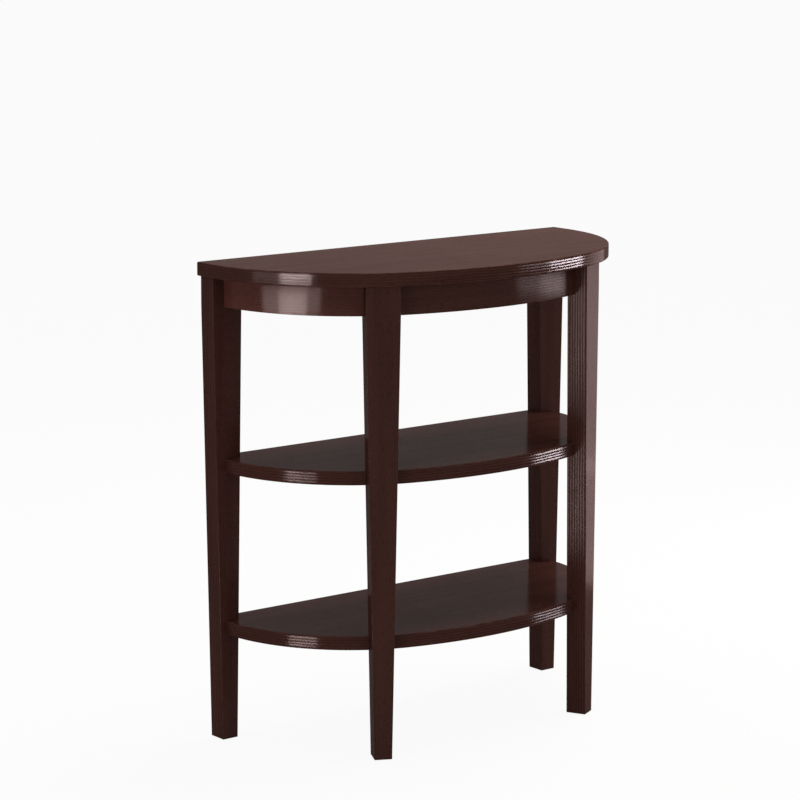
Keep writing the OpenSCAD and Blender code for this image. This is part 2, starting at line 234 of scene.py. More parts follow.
@dataclass(frozen=True)
class BowedOutline:
    """Three tangent arcs with short straight ends."""

    half_width: float = 0.366
    front_radius: float = 0.600
    end_radius: float = 0.275
    end_x: float = 0.091
    end_y: float = 0.1275
    front_y: float = 0.4395
    back_y: float = 0.1605

    @property
    def meet(self) -> float:
        """Angle from straight ahead at which the front bow turns into an end bow."""
        return math.atan2(self.end_x, self.front_y - self.end_y)

    def end_centre(self, side: int) -> Vector:
        """Centre of an end bow: side -1 is left, 1 is right."""
        return Vector((side * self.end_x, self.end_y, 0))

    @property
    def front_centre(self) -> Vector:
        """Centre of the front bow."""
        return Vector((0, self.front_y, 0))

    def on_end(self, side: int, angle: float, inset: float) -> Vector:
        """Point on an end bow, drawn in by an inset.

        Args:
            side: -1 for left, 1 for right.
            angle: from straight ahead towards the end, in radians.
            inset: distance inside the outline.

        Returns:
            The point at floor height.
        """
        outwards = Vector((side * math.sin(angle), -math.cos(angle), 0))
        return self.end_centre(side) + (self.end_radius - inset) * outwards

    def along(self, x: float, y: float) -> float:
        """Length along the bow to a point, from the middle of the front."""
        side = 1 if x >= 0 else -1
        turn = math.atan2(abs(x), self.front_y - y)
        if turn <= self.meet:
            return side * self.front_radius * turn
        length = self.front_radius * self.meet
        turn = math.atan2(abs(x) - self.end_x, self.end_y - y)
        if turn <= math.pi / 2 and y < self.end_y:
            return side * (length + self.end_radius * (turn - self.meet))
        return side * (length + self.end_radius * (math.pi / 2 - self.meet) + y - self.end_y)


def ramp(value: float, start: float, end: float) -> float:
    """Share of the way from start to end, from 0 to 1."""
    return min(max((value - start) / (end - start), 0.0), 1.0)


@dataclass(frozen=True)
class GrainMap:
    """Writes the map that the wood's figure follows, and marks corners and edge veneer.

    The edge veneer's lines open round the left bend, over the angles of opens, stay open along the
    front, and close where the right bend starts, over the angles of closes. Both are in degrees
    from straight ahead.
    """

    outline: BowedOutline
    side_shift: float = 0.2
    back_shift: float = 0.1
    rim_normals: Pair = (0.1, 0.98)
    corner_normal: float = 0.2
    opens: Pair = (-30.0, -5.0)
    closes: Pair = (18.0, 24.0)
    closed_lines: float = 0.15
    bent_lines: float = 0.25
    leg_side_lines: float = 0.8
    leg_front_lines: float = 0.1

    def place(self, run: GrainRun, point: Vector, normal: Vector) -> Pair:
        """Distance along and across the grain at one corner of a face.

        Args:
            run: how the grain lies on the piece.
            point: the corner.
            normal: the face's normal.

        Returns:
            The two distances.
        """
        level = abs(normal.z) > LEVEL_NORMAL
        if run is GrainRun.BENT or (run is GrainRun.BOARD and not level):
            return self.outline.along(point.x, point.y), point.y if level else point.z
        if level:
            return point.x, point.y
        if run is GrainRun.UPRIGHT:
            across = point.y + self.side_shift if abs(normal.x) > abs(normal.y) else point.x
            return point.z, across + (self.back_shift if normal.y + normal.x > 0 else 0)
        return point.x, point.z + self.back_shift

    def write(
        self, piece: Piece, run: GrainRun, offset: Pair, left_lines: float = 1.0
    ) -> None:
        """Lays the grain map on a piece and marks its rounded corners and its edge veneer.

        Args:
            piece: a finished mesh.
            run: how the grain lies on it.
            offset: shift that gives the piece its own stretch of figure.
            left_lines: how open the lines of a board's edge veneer are round its left end.
        """
        mesh = piece.data
        for old in list(mesh.uv_layers):
            mesh.uv_layers.remove(old)
        places: list[float] = []
        marks: list[float] = []
        lipping: list[float] = []
        for face in mesh.polygons:
            normal = face.normal.copy()
            for loop in face.loop_indices:
                point = mesh.vertices[mesh.loops[loop].vertex_index].co
                along, across = self.place(run, point, normal)
                places += [along + offset[0], across + offset[1]]
                marks.append(self.rounded(run, normal))
                lipping.append(self.lipped(run, normal, left_lines))
        mesh.attributes.new(ARRIS_MARK, "FLOAT", "CORNER")
        mesh.attributes.new(LIPPING_MARK, "FLOAT", "CORNER")
        mesh.uv_layers.new(name=GRAIN_MAP)
        mesh.attributes[ARRIS_MARK].data.foreach_set("value", marks)
        mesh.attributes[LIPPING_MARK].data.foreach_set("value", lipping)
        mesh.uv_layers[GRAIN_MAP].uv.foreach_set("vector", places)

    def rounded(self, run: GrainRun, normal: Vector) -> float:
        """1 on a face of a rounded corner, 0 on a broad face."""
        if run in (GrainRun.BOARD, GrainRun.BENT):
            return float(self.rim_normals[0] < abs(normal.z) < self.rim_normals[1])
        return float(sorted(abs(part) for part in normal)[1] > self.corner_normal)

    def lipped(self, run: GrainRun, normal: Vector, left_lines: float) -> float:
        """How strongly the lines of the edge veneer show on a face, from 0 to 1."""
        if run is GrainRun.UPRIGHT:
            return self.leg_side_lines if abs(normal.x) > LEVEL_NORMAL else self.leg_front_lines
        if run is not GrainRun.BOARD:
            return self.bent_lines if run is GrainRun.BENT else self.closed_lines
        if abs(normal.z) > LEVEL_NORMAL:
            return 0.0
        facing = math.degrees(math.atan2(normal.x, -normal.y))
        if facing < self.closes[0]:
            return left_lines + (1 - left_lines) * ramp(facing, *self.opens)
        return 1 - (1 - self.closed_lines) * ramp(facing, *self.closes)


# Shared effects and finishes


class NodeDesk:
    """Adds and joins nodes of one material or one shared effect."""

    column_width = 180
    row_height = 60
    rows = 5
    mix_inputs = (0, 6, 7)
    mix_output = 2

    def __init__(self, tree: bpy.types.NodeTree) -> None:
        """Starts on an empty tree."""
        self.tree = tree
        tree.nodes.clear()
        self.column = 0

    def feed(self, value: object, socket: Socket) -> None:
        """Joins an output to an input, or sets the input to a number, a vector or a colour."""
        if isinstance(value, Socket):
            self.tree.links.new(value, socket)
        elif socket.type == "RGBA":
            socket.default_value = (*value, 1)
        else:
            socket.default_value = value

    def fill(self, node: bpy.types.Node, **inputs: object) -> None:
        """Feeds inputs of a node by name, with _ for a space."""
        for name, value in inputs.items():
            self.feed(value, node.inputs[name.replace("_", " ")])

    def add(self, kind: str, **settings: object) -> bpy.types.Node:
        """Adds a node with its settings and inputs.

        Args:
            kind: the node's type.
            **settings: properties of the node, or its inputs by name with _ for a space.

        Returns:
            The node.
        """
        node = self.tree.nodes.new(kind)
        self.column += 1
        row = self.column % self.rows
        node.location = (self.column_width * self.column, -self.row_height * row)
        for key, value in settings.items():
            if hasattr(node, key):
                setattr(node, key, value)
            else:
                self.feed(value, node.inputs[key.replace("_", " ")])
        return node

    def math(self, operation: str, *values: object) -> Socket:
        """Adds a Math node.

        Args:
            operation: what it does.
            *values: numbers or sockets for its inputs.

        Returns:
            Its output.
        """
        node = self.add("ShaderNodeMath", operation=operation)
        for socket, value in zip(node.inputs, values):
            self.feed(value, socket)
        return node.outputs[0]

    def scaled(self, value: Socket, factor: object, start: object = 0.0) -> Socket:
        """A value times a factor, added to a start."""
        return self.math("MULTIPLY_ADD", value, factor, start)

    def step(self, value: Socket, low: float, high: float) -> Socket:
        """Turns a value into a soft mask.

        Args:
            value: what is measured.
            low: where the mask starts.
            high: where it is full.

        Returns:
            The mask, from 0 to 1.
        """
        node = self.add("ShaderNodeMapRange", interpolation_type="SMOOTHSTEP")
        self.fill(node, Value=value, From_Min=low, From_Max=high)
        return node.outputs["Result"]

    def blend(self, mask: Socket, first: object, second: object) -> Socket:
        """Mixes two colours by a mask.

        Args:
            mask: share of the second colour.
            first: a colour or a socket.
            second: a colour or a socket.

        Returns:
            The mixed colour.
        """
        node = self.add("ShaderNodeMix", data_type="RGBA")
        for number, value in zip(self.mix_inputs, (mask, first, second)):
            self.feed(value, node.inputs[number])
        return node.outputs[self.mix_output]

    def noise(self, place: Socket, scale: float, detail: float, roughness: float = 0.5) -> Socket:
        """Adds a noise.

        Args:
            place: the coordinates that it reads.
            scale: how often it repeats over a metre or a unit of its coordinates.
            detail: how many finer layers it has.
            roughness: how strong the finer layers are.

        Returns:
            Its value, from 0 to 1.
        """
        node = self.add("ShaderNodeTexNoise", Vector=place, Scale=scale, Detail=detail)
        self.fill(node, Roughness=roughness)
        return node.outputs["Fac"]

    def bump(self, height: Socket, strength: float, depth: float) -> Socket:
        """Normal of a surface raised by a height, up to a depth."""
        node = self.add("ShaderNodeBump", Strength=strength, Distance=depth, Height=height)
        return node.outputs["Normal"]


class Effect:
    """An effect that becomes one node group."""

    @staticmethod
    def start(
        name: str, inputs: dict[str, float], outputs: Iterable[str]
    ) -> tuple[bpy.types.NodeTree, NodeDesk, Iterable[Socket], bpy.types.Node]:
        """Opens a node group that reads coordinates and plain values.

        Args:
            name: the group's name.
            inputs: default of each input besides the coordinates.
            outputs: names of the outputs, all plain values.

        Returns:
            The group, its desk, its input node's outputs and its output node.
        """
        group = bpy.data.node_groups.new(name, "ShaderNodeTree")
        new_socket = group.interface.new_socket
        new_socket(name="Coordinates", in_out="INPUT", socket_type="NodeSocketVector")
        for label, default in inputs.items():
            socket = new_socket(name=label, in_out="INPUT", socket_type="NodeSocketFloat")
            socket.default_value = default
        for label in outputs:
            new_socket(name=label, in_out="OUTPUT", socket_type="NodeSocketFloat")
        desk = NodeDesk(group)
        return group, desk, desk.add("NodeGroupInput").outputs, desk.add("NodeGroupOutput")


@dataclass(frozen=True)
class WoodFigure(Effect):
    """Short pores, long lines and slow bands that run along the first coordinate.

    Each of the three has a length along the grain, a width across it and the detail of its noise,
    and a mask's two numbers are where it starts and where it is full.
    """

    pore: Triple = (0.012, 0.0006, 1.0)
    line: Triple = (0.12, 0.0044, 1.0)
    band: Triple = (0.35, 0.022, 2.0)
    pore_mask: Pair = (0.55, 0.66)
    line_mask: Pair = (0.41, 0.51)
    band_mask: Pair = (0.32, 0.68)
    drift_scale: float = 4.0
    drift_detail: float = 1.0
    drift: float = 0.004
    depth_scale: float = 60.0
    line_swing: float = 2.2
    line_noise: float = 0.55
    line_wave: float = 0.35
    line_level: float = 0.225

    def build(self) -> bpy.types.NodeTree:
        """Builds the group.

        Returns:
            The group, with outputs Pores, Lines and Bands.
        """
        kinds = {"Pore": self.pore, "Line": self.line, "Band": self.band}
        inputs = {}
        for label, (length, width, _) in kinds.items():
            inputs[f"{label} Length"] = length
            inputs[f"{label} Width"] = width
        group, desk, given, result = self.start("wood figure", inputs, ("Pores", "Lines", "Bands"))
        split = desk.add("ShaderNodeSeparateXYZ", Vector=given["Coordinates"]).outputs
        drift = desk.noise(given["Coordinates"], self.drift_scale, self.drift_detail)
        sway = desk.scaled(drift, self.drift, split["Y"])
        noises = {}
        for label, (_, _, detail) in kinds.items():
            stretched = desk.add(
                "ShaderNodeCombineXYZ",
                X=desk.math("DIVIDE", split["X"], given[f"{label} Length"]),
                Y=desk.math("DIVIDE", sway, given[f"{label} Width"]),
                Z=desk.math("MULTIPLY", split["Z"], self.depth_scale),
            )
            noises[label] = desk.noise(stretched.outputs[0], 1.0, detail)
        row = desk.math("MULTIPLY", desk.math("DIVIDE", sway, given["Line Width"]), math.tau)
        wave = desk.math("SINE", desk.scaled(noises["Line"], self.line_swing, row))
        level = desk.scaled(wave, self.line_wave, self.line_level)
        ridge = desk.scaled(noises["Line"], self.line_noise, level)
        desk.fill(
            result,
            Pores=desk.step(noises["Pore"], *self.pore_mask),
            Lines=desk.step(ridge, *self.line_mask),
            Bands=desk.step(noises["Band"], *self.band_mask),
        )
        return group


@dataclass(frozen=True)
class HandWearAndHighlight(Effect):
    """Patches on the marked corners, worn by hands and partly a painted highlight, and a soft
    haze.

    A patch and a cloud each have the scale, the detail and the roughness of their noise.
    """

    amount: float = 0.5
    patch: Triple = (38.0, 4.0, 0.6)
    patch_mask: Pair = (0.40, 0.62)
    cloud: Triple = (9.0, 3.0, 0.5)
    cloud_mask: Pair = (0.30, 0.72)

    def build(self) -> bpy.types.NodeTree:
        """Builds the group.

        Returns:
            The group, with outputs Wear, partly a painted highlight on the corners, and Haze.
        """
        inputs = {"Corner": 0.0, "Amount": self.amount}
        group, desk, given, result = self.start("hand wear", inputs, ("Wear", "Haze"))
        place = given["Coordinates"]
        mask = desk.step(desk.noise(place, *self.patch), *self.patch_mask)
        worn = desk.math("MULTIPLY", mask, given["Corner"])
        haze = desk.step(desk.noise(place, *self.cloud), *self.cloud_mask)
        desk.fill(result, Wear=desk.math("MULTIPLY", worn, given["Amount"]), Haze=haze)
        return group


class SharedEffects:
    """The effects that several finishes use, each built once."""

    def __init__(self) -> None:
        """Builds the wood figure and the hand wear."""
        self.figure = WoodFigure().build()
        self.wear_and_highlight = HandWearAndHighlight().build()


class Finish:
    """A finish that becomes one material."""

    name: str = ""

    def desk(self) -> tuple[bpy.types.Material, NodeDesk, bpy.types.Node]:
        """Starts the material with its shader.

        Returns:
            The material, its desk and its Principled shader.
        """
        material = bpy.data.materials.new(self.name)
        material.use_nodes = True
        desk = NodeDesk(material.node_tree)
        shader = desk.add("ShaderNodeBsdfPrincipled")
        desk.add("ShaderNodeOutputMaterial", Surface=shader.outputs[0])
        return material, desk, shader


@dataclass(frozen=True)
class EspressoLacquer(Finish):
    """Dark red-brown stain under satin lacquer, sunk a little into the lines of the grain."""

    name: str = "espresso_lacquer"
    deep: Colour = (0.0345, 0.0131, 0.0101)
    warm: Colour = (0.0530, 0.0205, 0.0155)
    pore: Colour = (0.0120, 0.0042, 0.0036)
    # Colour of the worn corners, which also stands in for a painted highlight along the rounded
    # edges
    rubbed_and_highlit: Colour = (0.115, 0.052, 0.040)
    wear_and_highlight_amount: float = 0.3
    tone: float = 0.50
    tone_of_bands: float = 0.45
    line_stain: float = 0.12
    line_stain_of_veneer: float = 0.38
    pore_stain: float = 0.45
    line_dip: float = 0.08
    line_dip_of_veneer: float = 0.88
    gloss: float = 0.100
    gloss_roughness: float = 0.145
    gloss_ior: float = 1.5
    gloss_lost_in_pores: float = 0.35
    gloss_lost_in_haze: float = 0.10
    stain_roughness: float = 0.45
    roughness_of_haze: float = 0.12
    roughness_of_pores: float = 0.2
    line_depth: float = 0.8
    pore_depth: float = 0.6
    relief: float = 0.5
    relief_depth: float = 0.0002

    def make(self, effects: SharedEffects) -> bpy.types.Material:
        """Builds the material.

        Args:
            effects: the shared wood figure and hand wear.

        Returns:
            The material, which reads each piece's own grain map.
        """
        material, desk, shader = self.desk()
        grain = desk.add("ShaderNodeUVMap", uv_map=GRAIN_MAP).outputs[0]
        wood = desk.add("ShaderNodeGroup", node_tree=effects.figure, Coordinates=grain).outputs
        pores, lines, bands = (wood[label] for label in ("Pores", "Lines", "Bands"))
        corner = desk.add("ShaderNodeAttribute", attribute_name=ARRIS_MARK).outputs["Fac"]
        veneer = desk.add("ShaderNodeAttribute", attribute_name=LIPPING_MARK).outputs["Fac"]
        place = desk.add("ShaderNodeTexCoord").outputs["Object"]
        worn = desk.add("ShaderNodeGroup", node_tree=effects.wear_and_highlight, Coordinates=place)
        desk.fill(worn, Corner=corner, Amount=self.wear_and_highlight_amount)
        wear_and_highlight, haze = worn.outputs["Wear"], worn.outputs["Haze"]

        stained = desk.scaled(veneer, self.line_stain_of_veneer, self.line_stain)
        lined = desk.math("MULTIPLY", lines, stained)
        tone = desk.math("SUBTRACT", desk.scaled(bands, self.tone_of_bands, self.tone), lined)
        stain = desk.blend(tone, self.deep, self.warm)
        stain = desk.blend(desk.math("MULTIPLY", pores, self.pore_stain), stain, self.pore)
        # Worn corners lightened in patches: partly worn finish, partly a painted highlight along
        # the edges
        stain = desk.blend(wear_and_highlight, stain, self.rubbed_and_highlit)

        dipped = desk.scaled(veneer, self.line_dip_of_veneer, self.line_dip)
        sunk = desk.math("MULTIPLY", lines, dipped)
        level = desk.math("SUBTRACT", 1.0, sunk)
        closed = desk.scaled(pores, -self.gloss_lost_in_pores, 1.0)
        cloudy = desk.scaled(haze, -self.gloss_lost_in_haze, 1.0)
        film = desk.math("MULTIPLY", closed, desk.math("MULTIPLY", cloudy, self.gloss))
        soft = desk.scaled(haze, self.roughness_of_haze, self.stain_roughness)
        hollow = desk.math("MULTIPLY", pores, -self.pore_depth)
        height = desk.scaled(sunk, -self.line_depth, hollow)
        desk.fill(
            shader,
            Base_Color=stain,
            Roughness=desk.scaled(pores, self.roughness_of_pores, soft),
            Specular_IOR_Level=0.0,
            Coat_Weight=desk.math("MULTIPLY", level, film),
            Coat_Roughness=self.gloss_roughness,
            Coat_IOR=self.gloss_ior,
            Normal=desk.bump(height, self.relief, self.relief_depth),
        )
        return material


@dataclass(frozen=True)
class BareWood(Finish):
    """Unfinished wood inside the apron, with its grain along X of the whole table."""

    name: str = "bare_wood"
    early: Colour = (0.58, 0.40, 0.24)
    late: Colour = (0.40, 0.24, 0.12)
    pore: Colour = (0.22, 0.13, 0.07)
    pore_length: float = 0.02
    pore_width: float = 0.0008
    band_width: float = 0.006
    pore_stain: float = 0.5
    roughness: float = 0.62
    roughness_of_haze: float = 0.15
    relief: float = 0.4
    relief_depth: float = 0.0002

    def make(self, effects: SharedEffects) -> bpy.types.Material:
        """Builds the material.

        Args:
            effects: the shared wood figure and hand wear.

        Returns:
            The material, on the object's own coordinates.
        """
        material, desk, shader = self.desk()
        place = desk.add("ShaderNodeTexCoord").outputs["Object"]
        figure = desk.add("ShaderNodeGroup", node_tree=effects.figure, Coordinates=place)
        desk.fill(
            figure,
            Pore_Length=self.pore_length,
            Pore_Width=self.pore_width,
            Band_Width=self.band_width,
        )
        wood = figure.outputs
        worn = desk.add("ShaderNodeGroup", node_tree=effects.wear_and_highlight, Coordinates=place)
        colour = desk.blend(wood["Bands"], self.early, self.late)
        pores = desk.math("MULTIPLY", wood["Pores"], self.pore_stain)
        desk.fill(
            shader,
            Base_Color=desk.blend(pores, colour, self.pore),
            Roughness=desk.scaled(worn.outputs["Haze"], self.roughness_of_haze, self.roughness),
            Normal=desk.bump(wood["Lines"], self.relief, self.relief_depth),
        )
        return material


@dataclass(frozen=True)
class FasteningMetal(Finish):
    """Plated or cast metal of the fastenings, dulled in patches."""

    name: str = "plated_steel"
    bright: Colour = (0.62, 0.63, 0.64)
    dull: Colour = (0.42, 0.42, 0.41)
    roughness: float = 0.30
    grit: float = 900.0
    grit_detail: float = 3.0
    patch_scale: float = 12.0
    roughness_of_haze: float = 0.22
    roughness_of_grit: float = 0.1
    relief: float = 0.25
    relief_depth: float = 0.0001

    def make(self, effects: SharedEffects) -> bpy.types.Material:
        """Builds the material.

        Args:
            effects: the shared effects, of which metal reads the haze.

        Returns:
            The material, on the object's own coordinates.
        """
        material, desk, shader = self.desk()
        place = desk.add("ShaderNodeTexCoord").outputs["Object"]
        near = desk.add("ShaderNodeMapping", Vector=place, Scale=(self.patch_scale,) * 3)
        worn = desk.add("ShaderNodeGroup", node_tree=effects.wear_and_highlight, Coordinates=near.outputs[0])
        haze = worn.outputs["Haze"]
        grit = desk.noise(place, self.grit, self.grit_detail)
        hazed = desk.scaled(haze, self.roughness_of_haze, self.roughness)
        desk.fill(
            shader,
            Base_Color=desk.blend(haze, self.bright, self.dull),
            Metallic=1.0,
            Roughness=desk.scaled(grit, self.roughness_of_grit, hazed),
            Normal=desk.bump(grit, self.relief, self.relief_depth),
        )
        return material


class FinishShop:
    """Makes each finish once and puts it on pieces and on the hidden CAD nodes."""

    def __init__(self) -> None:
        """Builds the shared effects and all the finishes."""
        effects = SharedEffects()
        dowels = BareWood(
            "beech_dowel",
            early=(0.66, 0.47, 0.29),
            late=(0.55, 0.36, 0.20),
            pore=(0.30, 0.18, 0.10),
            pore_length=0.008,
            pore_width=0.0005,
        )
        cams = FasteningMetal(
            "cast_zinc_alloy",
            bright=(0.50, 0.50, 0.50),
            dull=(0.34, 0.34, 0.35),
            roughness=0.42,
            grit=500.0,
        )
        finishes = {
            "espresso_wood": EspressoLacquer(),
            "raw_wood": BareWood(),
            "beech": dowels,
            "zinc_steel": FasteningMetal(),
            "cast_zinc": cams,
        }
        self.by_slot = {slot: finish.make(effects) for slot, finish in finishes.items()}

    def dress(self, piece: Piece, slot: str) -> None:
        """Puts a finish on all faces of a piece or a node."""
        materials = piece.data.materials
        if len(materials) == 0:
            materials.append(self.by_slot[slot])
        for index in range(len(materials)):
            materials[index] = self.by_slot[slot]


# Boards


@dataclass
class BowedBoard:
    """A board with the table's outline, drawn in by an inset and rounded along its rim."""

    name: str
    node: str
    under: float
    inset: float = 0.0
    thick: float = 0.022
    rounding: float = 0.002
    rounding_steps: int = 5
    grain_offset: Pair = (0.0, 0.0)
    left_lines: float = 0.45
    outline: BowedOutline = BowedOutline()
    end_steps: int = 64
    front_steps: int = 36

    def wall(self) -> Piece:
        """Draws the board's edge: a straight end, three bows and the other straight end."""
        plan = self.outline
        reach = plan.half_width - self.inset
        run = plan.back_y - plan.end_y
        middle = Vector((-reach, plan.end_y + run / 2, self.under + self.thick / 2))
        piece = Bench.sheet(middle, (self.thick, run), (0, math.pi / 2, 0))
        Bench.edit(piece)
        end_radius = plan.end_radius - self.inset
        corners = [plan.end_centre(-1) + Vector((-end_radius, 0, 0))]
        corners += [plan.on_end(side, plan.meet, self.inset) for side in (-1, 1)]
        corners += [plan.end_centre(1) + Vector((end_radius, 0, 0))]
        bows = (
            (plan.end_centre(-1), math.pi / 2 - plan.meet, self.end_steps),
            (plan.front_centre, 2 * plan.meet, self.front_steps),
            (plan.end_centre(1), math.pi / 2 - plan.meet, self.end_steps),
        )
        for corner, (centre, angle, steps) in zip(corners, bows):
            self.pick_upright(piece, corner)
            Bench.swing(centre, angle, steps)
        self.pick_upright(piece, corners[-1])
        bpy.ops.mesh.extrude_region_move(TRANSFORM_OT_translate={"value": (0, run, 0)})
        return piece

    def pick_upright(self, piece: Piece, corner: Vector) -> None:
        """Selects the upright edge of the wall at a corner of the plan."""
        near = 10 * EDGE_TOLERANCE
        at_corner = Bench.both_ends(lambda place: (place.xy - corner.xy).length < near)
        found = Bench.pick(piece, "EDGE", at_corner)
        if found != 1:
            raise RuntimeError(f"{self.name}: {found} upright edges at {corner}")

    def build(self) -> Piece:
        """Closes the wall to a board and rounds its rim.

        Returns:
            The board, ready for its grain and finish.
        """
        piece = self.wall()
        back = self.outline.back_y
        behind = Bench.both_ends(lambda place: abs(place.y - back) < EDGE_TOLERANCE)
        lower, upper = self.rim(self.under), self.rim(self.under + self.thick)
        Bench.close(piece)
        for opening in (behind, lower, upper):
            Bench.pick(piece, "EDGE", opening)
            bpy.ops.mesh.edge_face_add()
        Bench.close(piece)
        Bench.pick(piece, "EDGE", lambda edge: lower(edge) or upper(edge))
        bpy.ops.mesh.bevel(offset=self.rounding, segments=self.rounding_steps, affect="EDGES")
        Bench.clear()
        return Bench.name(piece, self.name)

    @staticmethod
    def rim(level: float) -> Callable[[object], bool]:
        """Makes a test for the edges of the rim at a level."""
        return Bench.both_ends(lambda place: abs(place.z - level) < EDGE_TOLERANCE)


FRONT_TURN = math.radians(26.7602)


@dataclass(frozen=True)
class LegPlace:
    """Where a leg stands: its centre in plan and its turn about Z."""

    x: float
    y: float
    turn: float = 0.0

    @property
    def side(self) -> int:
        """-1 in the left half of the table, 1 in the right half."""
        return -1 if self.x < 0 else 1

    def turned(self, x: float, y: float) -> Vector:
        """A distance in the leg's own directions, turned into the table's."""
        return Matrix.Rotation(self.turn, 3, "Z") @ Vector((x, y, 0))


@dataclass(frozen=True)
class LegSizes:
    """Sizes of a tapered leg."""

    width: float = 0.054
    foot_width: float = 0.028
    thick: float = 0.033
    height: float = TOP_UNDERSIDE
    taper_top: float = APRON_UNDERSIDE
    ease: float = 0.001

    def half_width(self, height: float) -> float:
        """Half of the leg's width at a height."""
        slope = (self.width - self.foot_width) / 2 / self.taper_top
        return min(self.width / 2, self.foot_width / 2 + height * slope)


LEG_PLACES = {
    "back_left": LegPlace(-0.3325, 0.144),
    "back_right": LegPlace(0.3325, 0.144),
    "front_left": LegPlace(-0.204462, -0.097529, -FRONT_TURN),
    "front_right": LegPlace(0.204462, -0.097529, FRONT_TURN),
}


@dataclass
class Shelf(BowedBoard):
    """A bowed board let in round the four legs and bored below for its cams."""

    inset: float = APRON_INSET
    left_lines: float = 0.8
    gap: float = 0.0003
    cutter: float = 0.2
    cam_radius: float = 0.00765
    cam_depth: float = 0.01615
    cam_reach: float = 0.034
    cam_facets: int = 48
    bore_start: float = 0.005
    legs: LegSizes = LegSizes()

    def build(self) -> Piece:
        """Makes the board, then cuts its four notches and four cam holes.

        Returns:
            The shelf, ready for its grain and finish.
        """
        piece = super().build()
        Bench.cut_out(piece, list(self.notches()) + list(self.bores()))
        return piece

    def notches(self) -> Iterable[Piece]:
        """Blocks as wide as the legs at the shelf's upper face, with room round them."""
        room = self.legs.half_width(self.under + self.thick) + self.gap
        depth = self.legs.thick / 2 + self.gap
        tall = 2 * self.thick
        middle = self.under + self.thick / 2
        half = self.cutter / 2
        for name, leg in LEG_PLACES.items():
            if name.startswith("back"):
                centre = Vector((leg.x + leg.side * (half - room), leg.y + half - depth, middle))
                yield Bench.block(centre, (self.cutter, self.cutter, tall))
            else:
                centre = Vector((leg.x, leg.y, middle)) + leg.turned(0, depth - half)
                yield Bench.block(centre, (2 * room, self.cutter, tall), leg.turn)

    def bores(self) -> Iterable[Piece]:
        """Round cutters for the cams, from below the shelf up."""
        half = self.legs.half_width(self.under + self.thick / 2)
        reach = self.legs.thick / 2 + self.cam_reach
        for name, leg in LEG_PLACES.items():
            if name.startswith("back"):
                place = Vector((leg.x - leg.side * (half + self.cam_reach), leg.y, 0))
            else:
                place = Vector((leg.x, leg.y, 0)) + leg.turned(0, reach)
            Bench.clear()
            bpy.ops.mesh.primitive_cylinder_add(
                vertices=self.cam_facets,
                radius=self.cam_radius,
                depth=self.cam_depth + self.bore_start,
                location=(place.x, place.y, self.under + (self.cam_depth - self.bore_start) / 2),
            )
            Bench.settle()
            yield bpy.context.object


# Aprons and rail


@dataclass
class BentApron:
    """Apron pieces bent to the outline and cut square to the legs' sides."""

    outer_inset: float = APRON_INSET
    inner_inset: float = 0.0395
    under: float = APRON_UNDERSIDE
    top: float = TOP_UNDERSIDE
    rounding: float = 0.001
    rounding_steps: int = 4
    side_steps: int = 56
    meeting_steps: int = 10
    front_steps: int = 36
    grain_offset: Pair = (0.9, 0.21)
    outline: BowedOutline = BowedOutline()
    legs: LegSizes = LegSizes()

    def section(self, side: int, angle: float) -> Piece:
        """Stands the apron's section on an end bow, with its two lower corners rounded.

        Args:
            side: -1 for the left end bow, 1 for the right one.
            angle: from straight ahead towards the end, in radians.

        Returns:
            The section as one face, in edit mode and selected.
        """
        depth = (self.outer_inset + self.inner_inset) / 2
        centre = self.outline.on_end(side, angle, depth)
        centre.z = (self.under + self.top) / 2
        size = (self.inner_inset - self.outer_inset, self.top - self.under)
        piece = Bench.sheet(centre, size, (math.pi / 2, 0, side * angle - math.pi / 2))
        Bench.edit(piece)
        Bench.pick(piece, "VERT", lambda vert: vert.co.z < self.under + EDGE_TOLERANCE)
        bpy.ops.mesh.bevel(offset=self.rounding, segments=self.rounding_steps, affect="VERTICES")
        Bench.pick(piece, "FACE", lambda face: True)
        return piece

    def trim(self, side: int, towards_end: bool) -> None:
        """Cuts the piece in edit mode along a front leg's side.

        Args:
            side: -1 for the left front leg, 1 for the right one.
            towards_end: True keeps what lies towards the table's end, False the middle.
        """
        leg = LEG_PLACES["front_left" if side < 0 else "front_right"]
        face = leg.turned(side, 0)
        outwards = face if towards_end else -face
        corner = Vector((leg.x, leg.y, 0)) + outwards * self.legs.width / 2
        bpy.ops.mesh.select_mode(type="FACE")
        bpy.ops.mesh.select_all(action="SELECT")
        bpy.ops.mesh.bisect(plane_co=corner, plane_no=outwards, use_fill=True, clear_inner=True)

    def build_side(self, side: int, name: str) -> Piece:
        """Bends a side apron from the back leg's front face to the front leg's side.

        Args:
            side: -1 for left, 1 for right.
            name: the piece's name.

        Returns:
            The piece.
        """
        piece = self.section(side, math.pi / 2)
        turn = math.pi / 2 - FRONT_TURN
        Bench.swing(self.outline.end_centre(side), -side * turn, self.side_steps)
        self.trim(side, towards_end=True)
        return Bench.put_down(piece, name)

    def build_front(self, name: str) -> Piece:
        """Bends the front apron across both places where the bows meet.

        Args:
            name: the piece's name.

        Returns:
            The piece.
        """
        plan = self.outline
        piece = self.section(-1, FRONT_TURN)
        Bench.swing(plan.end_centre(-1), FRONT_TURN - plan.meet, self.meeting_steps)
        Bench.swing(plan.front_centre, 2 * plan.meet, self.front_steps)
        Bench.swing(plan.end_centre(1), FRONT_TURN - plan.meet, self.meeting_steps)
        for side in (-1, 1):
            self.trim(side, towards_end=False)
        return Bench.put_down(piece, name)


